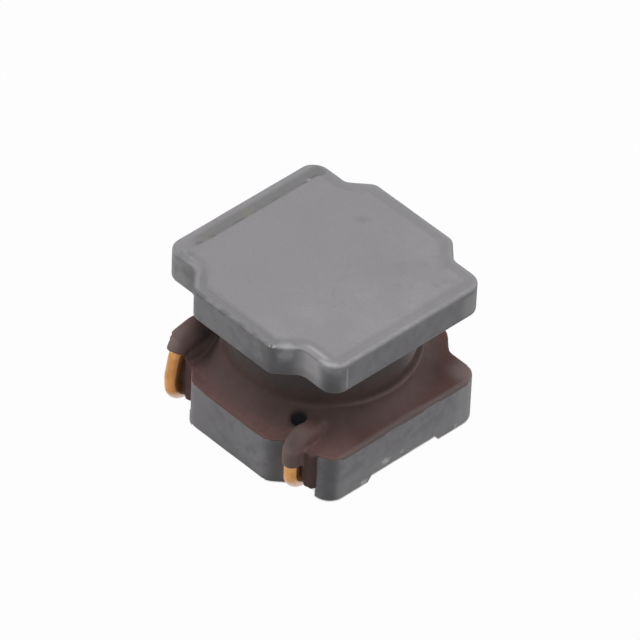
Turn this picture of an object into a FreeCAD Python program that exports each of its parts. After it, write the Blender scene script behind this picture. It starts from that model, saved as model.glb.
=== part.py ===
"""Resin-shielded power inductor, 6 mm square, for surface mounting.

A one-piece ferrite drum core carries two layers of enamelled round copper wire on its post.
Both ends of the wire leave on the -Y side, step down the corner notches of the lower flange and
run back under it in two grooves, where solder joins them to the metallised ends of the flange.
Brown magnetic resin closes the gap between the flanges and coats the wire down the notches.

Millimetres. The origin is the middle of the footprint, at the height of the board, and +Z is up.
"""
import FreeCAD, Part
import Sketcher

import math
import os

from FreeCAD import Vector

os.makedirs("parts", exist_ok=True)
doc = FreeCAD.newDocument("shielded_inductor")

SIZES = [
    # Flange outline, the same for both flanges
    ("body_width", 6.0, "across the flanges along X"),
    ("body_depth", 6.0, "across the flanges along Y"),
    ("tab_width", 2.70, "straight middle of the two Y sides"),
    ("step_run", 0.57, "along X, slant from the tab to the corner"),
    ("step_depth", 0.54, "along Y, how far the corners stand back from the tab"),
    ("corner_radius", 0.45, "four outer corners"),
    ("step_radius", 0.38, "inner bend of each slant"),
    ("tab_radius_upper", 0.34, "outer bend of each slant on the upper flange"),
    ("tab_radius_lower", 0.50, "outer bend of each slant on the lower flange"),
    # Heights of the drum core, from the board up
    ("pad_film", 0.03, "metallised film under the lower flange"),
    ("lower_flange", 1.30, "thickness of the lower flange"),
    ("window_height", 2.15, "gap between the flanges"),
    ("upper_flange", 0.80, "side wall of the upper flange"),
    ("land_rise", 0.07, "middle of the top face above its rim"),
    ("lip_width", 0.08, "level lip outside the bevel of the top face"),
    ("bevel_width", 0.30, "bevel of the top face, seen from above"),
    ("land_radius", 0.12, "outer corners of the middle of the top face"),
    ("edge_radius", 0.06, "worn edges of the upper flange"),
    ("post_radius", 1.50, "winding post"),
    ("root_radius", 0.08, "fillet where the post meets a flange"),
    # Underside
    ("channel_width", 2.10, "shallow channel along X, at its ceiling"),
    ("channel_flare", 0.12, "each side of the channel is this much wider at the board"),
    ("channel_depth", 0.15, "channel, below the flange face"),
    ("groove_clearance", 0.01, "free space round the wire in the lining of its groove"),
    ("groove_radius", 0.15, "corners of the groove ceiling"),
    ("pad_inner_edge", 1.30, "film from the middle plane"),
    # Winding
    ("wire_diameter", 0.40, "round wire over its enamel"),
    ("turn_gap", 0.03, "between neighbouring turns"),
    ("layer_gap", 0.01, "between the two layers, and between the post and the first"),
    ("seat_gap", 0.01, "between the wire and the flange or film beside it"),
    ("board_gap", 0.02, "solder under the wire end"),
    ("lead_spread_left", 2.28, "left lead from the middle plane where it steps down"),
    ("lead_spread_right", 1.95, "right lead from the middle plane where it steps down"),
    ("lead_stand_off", 0.06, "between the lead and the notch wall"),
    ("lead_bend", 0.30, "centre-line radius of the bends over and under the flange"),
    ("lead_sweep", 0.90, "centre-line radius of the slow bends between the coil and the notch"),
    ("lead_shoulder", 0.20, "left lead turns down this far above the flange"),
    ("lead_end", 1.90, "wire end beyond the middle plane, under the flange"),
    # Resin
    ("wall_coat", 0.07, "resin wall round the winding"),
    ("lead_coat", 0.07, "resin sleeve round each lead"),
    ("ridge_height", 0.25, "ridge where the last turn shows, from its foot to its top"),
    ("ridge_radius", 0.15, "round of that ridge"),
    ("ridge_drop", 0.20, "foot of the ridge below the middle of the last turn"),
    ("ridge_step", 0.03, "foot of the ridge outside the resin wall"),
    ("skirt_reach", 3.25, "radius at which the hollow skirt meets the flange"),
    ("film_height", 0.03, "resin left on the rest of the flange"),
    ("cuff_radius", 0.16, "resin drawn out under the upper flange"),
    ("coat_end_left", 1.55, "bare wire starts here on the left lead, above the board"),
    ("coat_end_right", 0.75, "bare wire starts here on the right lead, above the board"),
    ("bed_width", 0.30, "resin that fills the space under the left lead"),
    ("bed_height", 0.40, "that resin above the flange"),
    ("web_width", 0.52, "resin beside and behind each lead in its notch"),
    ("web_foot", 0.10, "web above the board"),
    ("web_depth", 0.17, "web out from the notch wall"),
    ("pit_radius", 0.16, "open bubble in the skirt beside the right lead"),
    ("pit_x", 1.49, "bubble from the middle plane"),
    ("pit_y", 2.10, "bubble from the middle plane, towards the leads"),
    ("pit_height", 1.62, "bubble above the board"),
    # Solder
    ("solder_inset", 0.12, "solder ends this far inside the notch wall"),
    ("solder_cover", 0.20, "solder past the wire end"),
]

sheet = doc.addObject("Spreadsheet::Sheet", "sizes")
for row, (name, size, note) in enumerate(SIZES, start=1):
    sheet.set(f"A{row}", note)
    sheet.set(f"B{row}", str(size))
    sheet.setAlias(f"B{row}", name)
doc.recompute()


def value(formula):
    """A size, or a sum of sizes, worked out in the sheet."""
    return float(sheet.evalExpression(formula))


def bind(item, **formulas):
    """Tie properties of an object to formulas; a dot in a property's name is written as two underscores."""
    for name, formula in formulas.items():
        item.setExpression(name.replace("__", "."), formula)


# Heights and places that several pieces share, as formulas on the sheet
FLANGE_FACE = "(sizes.pad_film + sizes.lower_flange)"
CEILING = f"({FLANGE_FACE} + sizes.window_height)"
RIM = f"({CEILING} + sizes.upper_flange)"
TOP = f"({RIM} + sizes.land_rise)"
NOTCH_WALL = "(sizes.body_depth / 2 - sizes.step_depth)"
GROOVE_OFFSET = "((sizes.lead_spread_left + sizes.lead_spread_right) / 2)"
GROOVE_HALF = (f"(sizes.lead_spread_left - {GROOVE_OFFSET} + sizes.wire_diameter / 2"
               " + sizes.groove_clearance + sizes.pad_film)")
GROOVE_CEILING = "(sizes.board_gap + sizes.wire_diameter + sizes.seat_gap + sizes.pad_film)"
LAYER_STEP = "(sizes.wire_diameter + sizes.layer_gap)"
INNER_LAYER = "(sizes.post_radius + sizes.layer_gap + sizes.wire_diameter / 2)"
OUTER_LAYER = f"({INNER_LAYER} + {LAYER_STEP})"
COIL_FACE = f"({OUTER_LAYER} + sizes.wire_diameter / 2)"
FIRST_TURN = f"({FLANGE_FACE} + sizes.seat_gap + sizes.wire_diameter / 2)"
TURN_PITCH = "(sizes.wire_diameter + sizes.turn_gap)"
LAST_TURN = f"({FIRST_TURN} + {TURN_PITCH})"
GROOVE_WIRE = "(sizes.board_gap + sizes.wire_diameter / 2)"
DROP = f"({NOTCH_WALL} + sizes.lead_stand_off + sizes.wire_diameter / 2)"
WINDOW_EDGE = f"({COIL_FACE} + sizes.seat_gap)"

# The two ends of the wire, named by the side that they lie on
SIGN = {"left": -1, "right": 1}


def origin_plane(body, role):
    return next(item for item in body.Origin.OriginFeatures if item.Role == role)


def sketch_on(body, name, role, lift=None):
    """A sketch on one of the body's own origin planes, lifted off it by a formula."""
    sketch = body.newObject("Sketcher::SketchObject", name)
    sketch.AttachmentSupport = [(origin_plane(body, role), "")]
    sketch.MapMode = "FlatFace"
    if lift:
        bind(sketch, AttachmentOffset__Base__z=lift)
    return sketch


def pin(sketch, edge, end, x, y):
    """Fix one end of a sketch edge at two formulas, with x or y of None left on the axis."""
    for kind, formula in (("DistanceX", x), ("DistanceY", y)):
        if formula is None:
            axis = -2 if kind == "DistanceX" else -1
            sketch.addConstraint(Sketcher.Constraint("PointOnObject", edge, end, axis))
        else:
            number = sketch.addConstraint(Sketcher.Constraint(kind, -1, 1, edge, end, value(formula)))
            sketch.setExpression(f"Constraints[{number}]", formula)


def polygon(sketch, corners):
    """Closed straight-sided profile through corners given as pairs of formulas."""
    points = [Vector(value(x) if x else 0, value(y) if y else 0, 0) for x, y in corners]
    count = len(points)
    for i in range(count):
        sketch.addGeometry(Part.LineSegment(points[i], points[(i + 1) % count]))
    for i in range(count):
        sketch.addConstraint(Sketcher.Constraint("Coincident", i, 2, (i + 1) % count, 1))
    for i, (x, y) in enumerate(corners):
        pin(sketch, i, 1, x, y)


def rounded_loop(sketch, corners):
    """Closed profile of straight sides and tangent arcs, anticlockwise.

    Each corner is where two sides would meet, as formulas for x, y and the radius of its arc.
    """
    count = len(corners)
    points = [Vector(value(x), value(y), 0) for x, y, _ in corners]
    arcs = []
    for i in range(count):
        point, radius = points[i], value(corners[i][2])
        back, ahead = points[i - 1] - point, points[(i + 1) % count] - point
        half_turn = (math.pi - back.getAngle(ahead)) / 2
        back.normalize()
        ahead.normalize()
        reach = radius * math.tan(half_turn)
        middle = point + (back + ahead).normalize() * (radius / math.cos(half_turn) - radius)
        arcs.append((point + back * reach, middle, point + ahead * reach))
    for i in range(count):
        sketch.addGeometry(Part.LineSegment(arcs[i][2], arcs[(i + 1) % count][0]))
    for i in range(count):
        sketch.addGeometry(Part.Arc(*arcs[i]))
    for i in range(count):
        sketch.addGeometry(Part.Point(points[i]), True)
    for i in range(count):
        side_in, side_out, arc, corner = (i - 1) % count, i, count + i, 2 * count + i
        # An inner bend runs clockwise, and such an arc is stored from its far end
        near, far = (1, 2) if (sketch.getPoint(arc, 1) - arcs[i][0]).Length < 1e-6 else (2, 1)
        radius = sketch.addConstraint([Sketcher.Constraint("Tangent", side_in, 2, arc, near),
                                       Sketcher.Constraint("Tangent", arc, far, side_out, 1),
                                       Sketcher.Constraint("PointOnObject", corner, 1, side_in),
                                       Sketcher.Constraint("PointOnObject", corner, 1, side_out),
                                       Sketcher.Constraint("Radius", arc, value(corners[i][2]))])[-1]
        sketch.setExpression(f"Constraints[{radius}]", corners[i][2])
        pin(sketch, corner, 1, corners[i][0], corners[i][1])


def flange_outline(tab_radius, inset="0", corner_radius="sizes.corner_radius"):
    """Corners of the flange outline, or of the same outline moved inwards by an inset."""
    slide = f"{inset} * tan(atan(sizes.step_depth / sizes.step_run) / 2)"
    quarter = [(f"sizes.body_width / 2 - {inset}", f"{NOTCH_WALL} - {inset}", corner_radius),
               (f"sizes.tab_width / 2 + sizes.step_run - {slide}", f"{NOTCH_WALL} - {inset}",
                f"sizes.step_radius + {inset}"),
               (f"sizes.tab_width / 2 - {slide}", f"sizes.body_depth / 2 - {inset}", tab_radius)]
    loop = []
    for sign_x, sign_y in ((1, 1), (-1, 1), (-1, -1), (1, -1)):
        corners = quarter if sign_x * sign_y > 0 else quarter[::-1]
        loop += [(f"{sign_x} * ({x})", f"{sign_y} * ({y})", radius) for x, y, radius in corners]
    return loop


def pad(body, name, sketch, length):
    feature = body.newObject("PartDesign::Pad", name)
    feature.Profile = sketch
    bind(feature, Length=length)
    doc.recompute()
    return feature


def flange(body, name, low, thickness, tab_radius):
    """One flange plate, padded upwards from its outline."""
    sketch = sketch_on(body, f"{name}_outline", "XY_Plane", low)
    rounded_loop(sketch, flange_outline(tab_radius))
    return pad(body, f"{name}_plate", sketch, thickness)


def round_edges(body, name, base, wanted, radius):
    """Fillet on the level edges of a body that a test of their bounding box picks out."""
    edges = [f"Edge{number}" for number, edge in enumerate(body.Shape.Edges, start=1)
             if edge.BoundBox.ZLength < 1e-6 and wanted(edge.BoundBox)]
    feature = body.newObject("PartDesign::Fillet", name)
    feature.Base = (base, edges)
    bind(feature, Radius=radius)
    doc.recompute()
    return feature


def groove_profile(body, name, side):
    """Section of one wire groove, with rounded corners. It reaches as far below the board as above."""
    sketch = sketch_on(body, name, "XZ_Plane")
    near, far = [f"{SIGN[side]} * ({GROOVE_OFFSET} {step} {GROOVE_HALF})" for step in "-+"]
    loop = [(near, f"-{GROOVE_CEILING}"), (far, f"-{GROOVE_CEILING}"),
            (far, GROOVE_CEILING), (near, GROOVE_CEILING)]
    if side == "left":
        loop.reverse()
    rounded_loop(sketch, [(x, z, "sizes.groove_radius") for x, z in loop])
    return sketch


def drum_core():
    """The ferrite, pressed and ground in one piece: lower flange, post and upper flange."""
    body = doc.addObject("PartDesign::Body", "drum_core")
    flange(body, "lower", "sizes.pad_film", "sizes.lower_flange", "sizes.tab_radius_lower")

    post_sketch = sketch_on(body, "post_circle", "XY_Plane", FLANGE_FACE)
    post_sketch.addGeometry(Part.Circle(Vector(0, 0, 0), Vector(0, 0, 1), value("sizes.post_radius")))
    post_sketch.addConstraint(Sketcher.Constraint("Coincident", 0, 3, -1, 1))
    radius = post_sketch.addConstraint(Sketcher.Constraint("Radius", 0, value("sizes.post_radius")))
    post_sketch.setExpression(f"Constraints[{radius}]", "sizes.post_radius")
    pad(body, "post", post_sketch, "sizes.window_height")

    plate = flange(body, "upper", CEILING, "sizes.upper_flange", "sizes.tab_radius_upper")
    post_edge = value("sizes.post_radius")
    ceiling, rim = value(CEILING), value(RIM)
    roots = round_edges(body, "post_roots", plate, lambda box: abs(box.XMax - post_edge) < 1e-6,
                        "sizes.root_radius")
    round_edges(body, "worn_edges", roots,
                lambda box: abs(box.ZMin - rim) < 1e-6
                or (abs(box.ZMin - ceiling) < 1e-6 and box.Center.Length > ceiling + 1e-3),
                "sizes.edge_radius")

    lip = sketch_on(body, "lip_outline", "XY_Plane", RIM)
    rounded_loop(lip, flange_outline("sizes.tab_radius_upper - sizes.lip_width", "sizes.lip_width",
                                     "sizes.corner_radius - sizes.lip_width"))
    land = sketch_on(body, "land_outline", "XY_Plane", TOP)
    rounded_loop(land, flange_outline("sizes.land_radius", "(sizes.lip_width + sizes.bevel_width)",
                                      "sizes.land_radius"))
    bevel = body.newObject("PartDesign::AdditiveLoft", "bevelled_land")
    bevel.Profile = lip
    bevel.Sections = [(land, [""])]
    bevel.Ruled = True
    doc.recompute()

    channel = sketch_on(body, "channel_section", "YZ_Plane")
    half = "(sizes.channel_width / 2)"
    flared = "(sizes.channel_width / 2 + sizes.channel_flare)"
    depth = "(sizes.pad_film + sizes.channel_depth)"
    polygon(channel, [(f"-{flared}", "sizes.pad_film"), (flared, "sizes.pad_film"),
                      (half, depth), (f"-{half}", depth)])
    cuts = {"channel": channel}
    for side in SIGN:
        cuts[f"{side}_groove"] = groove_profile(body, f"{side}_groove_section", side)
    for name, section in cuts.items():
        cut = body.newObject("PartDesign::Pocket", name)
        cut.Profile = section
        cut.Type = "ThroughAll"
        cut.Midplane = True
        doc.recompute()
    return body


def tangent_wire(corners):
    """Straight runs joined by tangent arcs.

    Each corner is a point and an arc radius, which is made smaller where the arc would pass the
    middle of a run. A radius of None takes the largest arc that doesn't.
    """
    edges = []
    here = corners[0][0]
    for (before, _), (point, radius), (after, _) in zip(corners, corners[1:], corners[2:]):
        back, ahead = before - point, after - point
        half_turn = (math.pi - back.getAngle(ahead)) / 2
        longest = min(back.Length, ahead.Length) / 2
        reach = longest if radius is None else min(radius * math.tan(half_turn), longest)
        bend = reach / math.tan(half_turn)
        back.normalize()
        ahead.normalize()
        start, end = point + back * reach, point + ahead * reach
        middle = point + (back + ahead).normalize() * (bend / math.cos(half_turn) - bend)
        if (start - here).Length > 1e-6:
            edges.append(Part.LineSegment(here, start).toShape())
        edges.append(Part.Arc(start, middle, end).toShape())
        here = end
    edges.append(Part.LineSegment(here, corners[-1][0]).toShape())
    return Part.Wire(edges)


def coil_corners():
    """Corners of the two layers, four to a turn, anticlockwise from the +X side seen from above.

    The first layer climbs from the lower flange, the wire crosses outwards over half a turn at
    the top, and the second layer comes down again. It stops one turn short of the flange, to
    pass over the start of the wire, and its last half turn is level. Both ends point towards -Y.
    """
    inner, outer = value(INNER_LAYER), value(OUTER_LAYER)
    first, pitch = value(FIRST_TURN), value(TURN_PITCH)
    room = value("sizes.window_height - sizes.wire_diameter - 2 * sizes.seat_gap")
    turns_up = math.floor(room / pitch - 0.5) + 0.5
    turns_across = turns_level = 0.5
    turns_down = turns_up - 1 - turns_level
    corners = []
    for quarter in range(round(4 * (turns_up + turns_across + turns_down + turns_level))):
        turned = (quarter + 0.5) / 4
        crossed = min(max((turned - turns_up) / turns_across, 0), 1)
        lowered = min(max((turned - turns_up - turns_across) / turns_down, 0), 1)
        radius = inner + (outer - inner) * crossed
        height = first + pitch * (min(turned, turns_up) - (turns_up - 1) * lowered)
        angle = 2 * math.pi * turned
        corners.append((Vector(math.cos(angle), math.sin(angle), 0) * radius * math.sqrt(2)
                        + Vector(0, 0, height), None))
    return corners


def lead_corners(side):
    """Corners of one lead, from its end under the flange to where it meets the coil.

    The right lead starts the winding and lies on the flange. The left one ends it, and comes
    down to its notch from the height of the last turn.
    """
    sign = SIGN[side]
    spread = sign * value(f"sizes.lead_spread_{side}")
    low, drop, wall = value(GROOVE_WIRE), value(DROP), value(NOTCH_WALL)
    bend, slow = value("sizes.lead_bend"), value("sizes.lead_sweep")
    corners = [(Vector(spread, value("sizes.lead_end"), low), 0), (Vector(spread, -drop, low), bend)]
    if side == "right":
        flat, start = value(FIRST_TURN), value(INNER_LAYER)
        corners += [(Vector(spread, -drop, flat), bend),
                    (Vector(spread, -(wall + start) / 2, flat), slow / 2),
                    (Vector(start, -start, flat), slow)]
    else:
        start = value(OUTER_LAYER)
        corners += [(Vector(spread, -drop, value(f"{FLANGE_FACE} + sizes.lead_shoulder")), bend),
                    (Vector(-start, -start, value(LAST_TURN)), bend)]
    return corners


def sweep(name, wire, diameter):
    """A round bar of bound diameter along a path of lines and arcs."""
    path = doc.addObject("Part::Feature", f"{name}_path")
    path.Shape = wire
    section = doc.addObject("Part::Circle", f"{name}_section")
    bind(section, Radius=f"({diameter}) / 2")
    first = wire.Edges[0]
    heading = first.tangentAt(first.FirstParameter)
    section.Placement = FreeCAD.Placement(first.valueAt(first.FirstParameter),
                                          FreeCAD.Rotation(Vector(0, 0, 1), heading))
    bar = doc.addObject("Part::Sweep", name)
    bar.Sections = [section]
    bar.Spine = (path, [f"Edge{number + 1}" for number in range(len(wire.Edges))])
    bar.Solid = True
    bar.Frenet = False
    doc.recompute()
    return bar


def winding():
    """The whole wire in one piece: right lead, both layers, left lead."""
    wire = tangent_wire(lead_corners("right") + coil_corners() + lead_corners("left")[::-1])
    return sweep("winding", wire, "sizes.wire_diameter")


def resin_ring():
    """Turned form of the resin: wall round the coil, ridge over its last turn, hollow skirt."""
    body = doc.addObject("PartDesign::Body", "resin_ring")
    sketch = sketch_on(body, "resin_section", "XZ_Plane")
    wall = f"({COIL_FACE} + sizes.wall_coat)"
    under = f"({INNER_LAYER} + sizes.wire_diameter / 2 + sizes.seat_gap)"
    under_height = f"({LAST_TURN} - sizes.wire_diameter / 2 - 2 * sizes.seat_gap)"
    film = f"({FLANGE_FACE} + sizes.film_height)"
    far = "(sizes.body_width / 2 + sizes.body_depth / 2)"
    foot = f"({wall} + sizes.ridge_step)"
    foot_height = f"({LAST_TURN} - sizes.ridge_drop)"
    ridge_top = f"({foot_height} + sizes.ridge_height)"
    drop, run = f"({foot_height} - {film})", f"(sizes.skirt_reach - {foot})"
    # The skirt ends level with the flange, so its radius follows from its height and its width
    hollow = f"(({drop} ^ 2 + {run} ^ 2) / (2 * {drop}))"
    cuff_foot = f"({CEILING} - sizes.cuff_radius)"
    cuff_edge = f"({wall} + sizes.cuff_radius)"
    places = [(under, FLANGE_FACE), (far, FLANGE_FACE), (far, film), ("sizes.skirt_reach", film),
              (foot, foot_height), (wall, ridge_top), (wall, cuff_foot), (cuff_edge, CEILING),
              (WINDOW_EDGE, CEILING), (WINDOW_EDGE, under_height), (under, under_height)]
    # The skirt and the cuff curve inwards, the ridge outwards; the other sides are straight
    curves = {3: (hollow, -1), 4: ("sizes.ridge_radius", 1), 6: ("sizes.cuff_radius", -1)}
    points = [Vector(value(x), value(z), 0) for x, z in places]
    count = len(points)
    for i in range(count):
        start, end = points[i], points[(i + 1) % count]
        if i in curves:
            radius, outwards = value(curves[i][0]), curves[i][1]
            chord = end - start
            rise = radius - math.sqrt(radius ** 2 - (chord.Length / 2) ** 2)
            normal = Vector(chord.y, -chord.x, 0).normalize() * outwards
            sketch.addGeometry(Part.Arc(start, (start + end) / 2 + normal * rise, end))
        else:
            sketch.addGeometry(Part.LineSegment(start, end))
    # An arc that runs clockwise is stored from its far end
    ends = {i: (1, 2) for i in range(count)}
    for i in curves:
        if (sketch.getPoint(i, 1) - points[i]).Length > 1e-6:
            ends[i] = (2, 1)
    for i in range(count):
        following = (i + 1) % count
        sketch.addConstraint(Sketcher.Constraint("Coincident", i, ends[i][1], following, ends[following][0]))
    for i, (x, z) in enumerate(places):
        pin(sketch, i, ends[i][0], x, z)
    for i, (radius, _) in curves.items():
        number = sketch.addConstraint(Sketcher.Constraint("Radius", i, value(radius)))
        sketch.setExpression(f"Constraints[{number}]", radius)
    turned = body.newObject("PartDesign::Revolution", "resin_turned")
    turned.Profile = sketch
    turned.ReferenceAxis = (sketch, ["V_Axis"])
    turned.Angle = 360
    doc.recompute()
    return body


def combine(kind, name, base, tool):
    """Cut, Fuse or Common of two document objects."""
    result = doc.addObject(f"Part::{kind}", name)
    result.Base, result.Tool = base, tool
    doc.recompute()
    return result


def block(name, x, y, z, length, width, height):
    """A box whose low corner and sides are bound to formulas."""
    item = doc.addObject("Part::Box", name)
    bind(item, Placement__Base__x=x, Placement__Base__y=y, Placement__Base__z=z,
         Length=length, Width=width, Height=height)
    return item


def lead_coat(side, window):
    """Resin sleeve over one lead, from the wall round the coil to where the wire comes out bare."""
    run = lead_corners(side)[2:]
    over_edge, last = run[0][0], run[-1][0]
    foot = Vector(over_edge.x, over_edge.y, value("sizes.web_foot"))
    coil = Vector(last.x, 0, last.z)
    sleeve = sweep(f"{side}_sleeve", tangent_wire([(foot, 0)] + run + [(coil, 0)]),
                   "sizes.wire_diameter + 2 * sizes.lead_coat")
    bare = block(f"{side}_bare_wire", "-sizes.body_width", "-sizes.body_depth", "0",
                 "2 * sizes.body_width", "sizes.body_depth", f"sizes.coat_end_{side}")
    coat = combine("Cut", f"{side}_coated_run", sleeve, bare)
    return combine("Cut", f"{side}_coat", coat, window)


def lead_web(side):
    """Resin that fills the notch behind one lead nearly down to the board."""
    return block(f"{side}_web", f"{SIGN[side]} * sizes.lead_spread_{side}",
                 f"-{NOTCH_WALL} - sizes.web_depth", "sizes.web_foot",
                 "sizes.web_width", "sizes.web_depth",
                 f"{FLANGE_FACE} + sizes.film_height - sizes.web_foot")


def lead_bed():
    """Resin under the left lead, between the hollow skirt and the notch."""
    far = f"({NOTCH_WALL} + sizes.web_depth)"
    near = "(sizes.lead_spread_left - sizes.bed_width / 2)"
    return block("left_bed", "-sizes.lead_spread_left - sizes.bed_width / 2", f"-{far}", FLANGE_FACE,
                 "sizes.bed_width", f"{far} - {near}", "sizes.bed_height")


def magnetic_resin(core, wire):
    """Resin poured and cured round the wound core: nothing of it overlaps ferrite or wire."""
    limit = doc.addObject("PartDesign::Body", "resin_limit")
    flange(limit, "limit", FLANGE_FACE, "sizes.window_height", "sizes.tab_radius_lower")
    poured = combine("Common", "resin_in_outline", resin_ring(), limit)
    window = doc.addObject("Part::Cylinder", "coil_window")
    bind(window, Radius=WINDOW_EDGE, Height="sizes.window_height", Placement__Base__z=FLANGE_FACE)
    for side in SIGN:
        poured = combine("Fuse", f"resin_with_{side}_web", poured, lead_web(side))
        poured = combine("Fuse", f"resin_with_{side}_coat", poured, lead_coat(side, window))
    poured = combine("Fuse", "resin_with_bed", poured, lead_bed())
    bubble = doc.addObject("Part::Sphere", "bubble")
    bind(bubble, Radius="sizes.pit_radius", Placement__Base__x="sizes.pit_x",
         Placement__Base__y="-sizes.pit_y", Placement__Base__z="sizes.pit_height")
    burst = combine("Cut", "resin_burst", poured, bubble)
    on_core = combine("Cut", "resin_on_core", burst, core)
    return combine("Cut", "magnetic_resin", on_core, wire)


def electrode(side, core):
    """Metallised end of the lower flange: a film that follows its underside and lines the groove."""
    film = value("sizes.pad_film")
    inner, outer = value("sizes.pad_inner_edge"), value("sizes.body_width / 2")
    depth, wall = value("sizes.body_depth"), value(NOTCH_WALL)
    groove, half = SIGN[side] * value(GROOVE_OFFSET), value(GROOVE_HALF)
    zone = Part.makeBox(outer - inner, depth, film + value("sizes.channel_depth"),
                        Vector(inner if side == "right" else -outer, -depth / 2, 0))
    lining = Part.makeBox(2 * half, 2 * wall, value(GROOVE_CEILING),
                          Vector(groove - half, -wall, 0))
    grown = core.Shape.translated(Vector(0, 0, -film)).common(zone)
    for shift in (-film, 0, film):
        grown = grown.fuse(core.Shape.translated(Vector(shift, 0, -film)).common(lining))
    item = doc.addObject("Part::Feature", f"electrode_{side}")
    item.Shape = grown.cut(core.Shape).removeSplitter()
    return item


def solder(side, film, wire):
    """Solder that fills the lined groove round the wire end, level with the film."""
    body = doc.addObject("PartDesign::Body", f"{side}_solder_fill")
    section = groove_profile(body, f"{side}_solder_section", side)
    start = f"({NOTCH_WALL} - sizes.solder_inset)"
    bind(section, AttachmentOffset__Base__z=start)
    bar = body.newObject("PartDesign::Pad", f"{side}_solder_bar")
    bar.Profile = section
    bar.Reversed = True
    bind(bar, Length=f"{start} + sizes.lead_end + sizes.solder_cover")
    doc.recompute()
    above_board = block(f"{side}_above_board", f"{SIGN[side]} * {GROOVE_OFFSET} - {GROOVE_HALF}",
                        "-sizes.body_depth / 2", "0", f"2 * {GROOVE_HALF}", "sizes.body_depth",
                        GROOVE_CEILING)
    level = combine("Common", f"{side}_solder_level", body, above_board)
    in_film = combine("Cut", f"{side}_solder_in_film", level, film)
    return combine("Cut", f"solder_{side}", in_film, wire)


core = drum_core()
wire = winding()
pieces = {"drum_core": core, "winding": wire, "magnetic_resin": magnetic_resin(core, wire)}
for side in SIGN:
    pieces[f"electrode_{side}"] = electrode(side, core)
    pieces[f"solder_{side}"] = solder(side, pieces[f"electrode_{side}"], wire)
doc.recompute()

for item in doc.Objects:
    if "Invalid" in item.State or "Error" in item.State:
        raise RuntimeError(f"{item.Name} failed: {item.State}")
for name, item in pieces.items():
    item.Label = name
    if item.Shape.isNull() or not item.Shape.isValid():
        raise RuntimeError(f"{name} has no valid shape")
    item.Shape.exportStep(f"parts/{name}.step")
    print(f"{name}: {len(item.Shape.Solids)} solid, {len(item.Shape.Faces)} faces, "
          f"{item.Shape.Volume:.4f} mm3")
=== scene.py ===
"""Looks of the shielded surface-mount inductor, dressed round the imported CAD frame."""

import math

import bmesh
import bpy
from mathutils import Euler, Matrix, Vector, noise


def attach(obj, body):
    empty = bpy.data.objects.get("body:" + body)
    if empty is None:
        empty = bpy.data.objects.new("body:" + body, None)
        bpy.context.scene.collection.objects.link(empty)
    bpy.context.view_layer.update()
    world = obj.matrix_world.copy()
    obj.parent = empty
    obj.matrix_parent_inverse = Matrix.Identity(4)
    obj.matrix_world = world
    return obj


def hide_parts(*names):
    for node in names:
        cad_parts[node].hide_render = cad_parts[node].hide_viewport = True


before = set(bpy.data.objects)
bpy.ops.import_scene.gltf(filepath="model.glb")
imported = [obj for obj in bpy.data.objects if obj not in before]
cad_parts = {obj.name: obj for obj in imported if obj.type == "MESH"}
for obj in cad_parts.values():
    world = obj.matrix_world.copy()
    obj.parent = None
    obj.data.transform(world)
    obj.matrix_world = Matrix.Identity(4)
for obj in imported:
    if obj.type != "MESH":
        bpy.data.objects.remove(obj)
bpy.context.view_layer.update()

# The drum core is pressed from ferrite powder, sintered, and ground on its top: two square
# flanges, notched at the corners of the front and back, on a round post. Its walls are matt
# and slightly uneven, and the middle of the top stands up inside a hollow rim.
MM = 0.001
BODY_HALF = 3.0
NOTCH_WALL, NOTCH_BACK = 2.45, 2.51
TAB_HALF = 1.35
STEP_RUN = 0.56
CORNER_RADIUS, STEP_RADIUS = 0.45, 0.32
TAB_RADIUS_UPPER, TAB_RADIUS_LOWER = 0.34, 0.50
LOWER_FOOT, LOWER_FACE, CEILING, RIM, TOP = 0.015, 1.33, 3.455, 4.32, 4.35
POST_RADIUS, POST_ROOT = 1.50, 0.4
LOWER_WEAR, UPPER_WEAR = 0.03, 0.068
# Bare ferrite stands this far behind the resin film that runs over its edges
FILM_STEP = 0.012


def flange_loop(inset, tab_radius, spacing=0.09):
    """Points round the flange outline moved inwards by an inset, as many for one inset as for another.

    Each quarter has a corner, the inner bend of its notch and the outer bend beside the tab.
    """
    slide = inset * math.tan(math.radians(22.5))
    corners = []
    for sign_x, sign_y in ((1, 1), (-1, 1), (-1, -1), (1, -1)):
        wall = (NOTCH_BACK if sign_y > 0 else NOTCH_WALL) - inset
        quarter = [(BODY_HALF - inset, wall, max(CORNER_RADIUS - inset, 0.10)),
                   (TAB_HALF + STEP_RUN - slide, wall, STEP_RADIUS + inset),
                   (TAB_HALF - slide, BODY_HALF - inset, max(tab_radius - inset, 0.10))]
        turn = quarter if sign_x * sign_y > 0 else quarter[::-1]
        corners += [(Vector((sign_x * x, sign_y * y)), radius) for x, y, radius in turn]
    count = len(corners)
    arcs = []
    for i, (corner, radius) in enumerate(corners):
        back = (corners[i - 1][0] - corner).normalized()
        ahead = (corners[(i + 1) % count][0] - corner).normalized()
        half = back.angle(ahead) / 2
        centre = corner + (back + ahead).normalized() * radius / math.sin(half)
        start = corner + back * radius / math.tan(half) - centre
        swing = start.angle_signed(corner + ahead * radius / math.tan(half) - centre, 0)
        # A corner of the body turns further than a bend of a notch, so it has more steps
        steps = (10, 7, 7, 7, 7, 10)[i % 6]
        arc = []
        for step in range(steps + 1):
            turned = start.copy()
            turned.rotate(Matrix.Rotation(-swing * step / steps, 2))
            arc.append(centre + turned)
        arcs.append(arc)
    loop = []
    for i in range(count):
        loop += arcs[i]
        start, end = arcs[i][-1], arcs[(i + 1) % count][0]
        # About how long the straight run is that follows
        run = (NOTCH_WALL / 4, STEP_RUN, 2 * TAB_HALF, STEP_RUN, NOTCH_WALL / 4, 2 * NOTCH_WALL)[i % 6]
        pieces = max(round(run / spacing), 2)
        loop += [start.lerp(end, step / pieces) for step in range(1, pieces)]
    return loop


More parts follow.
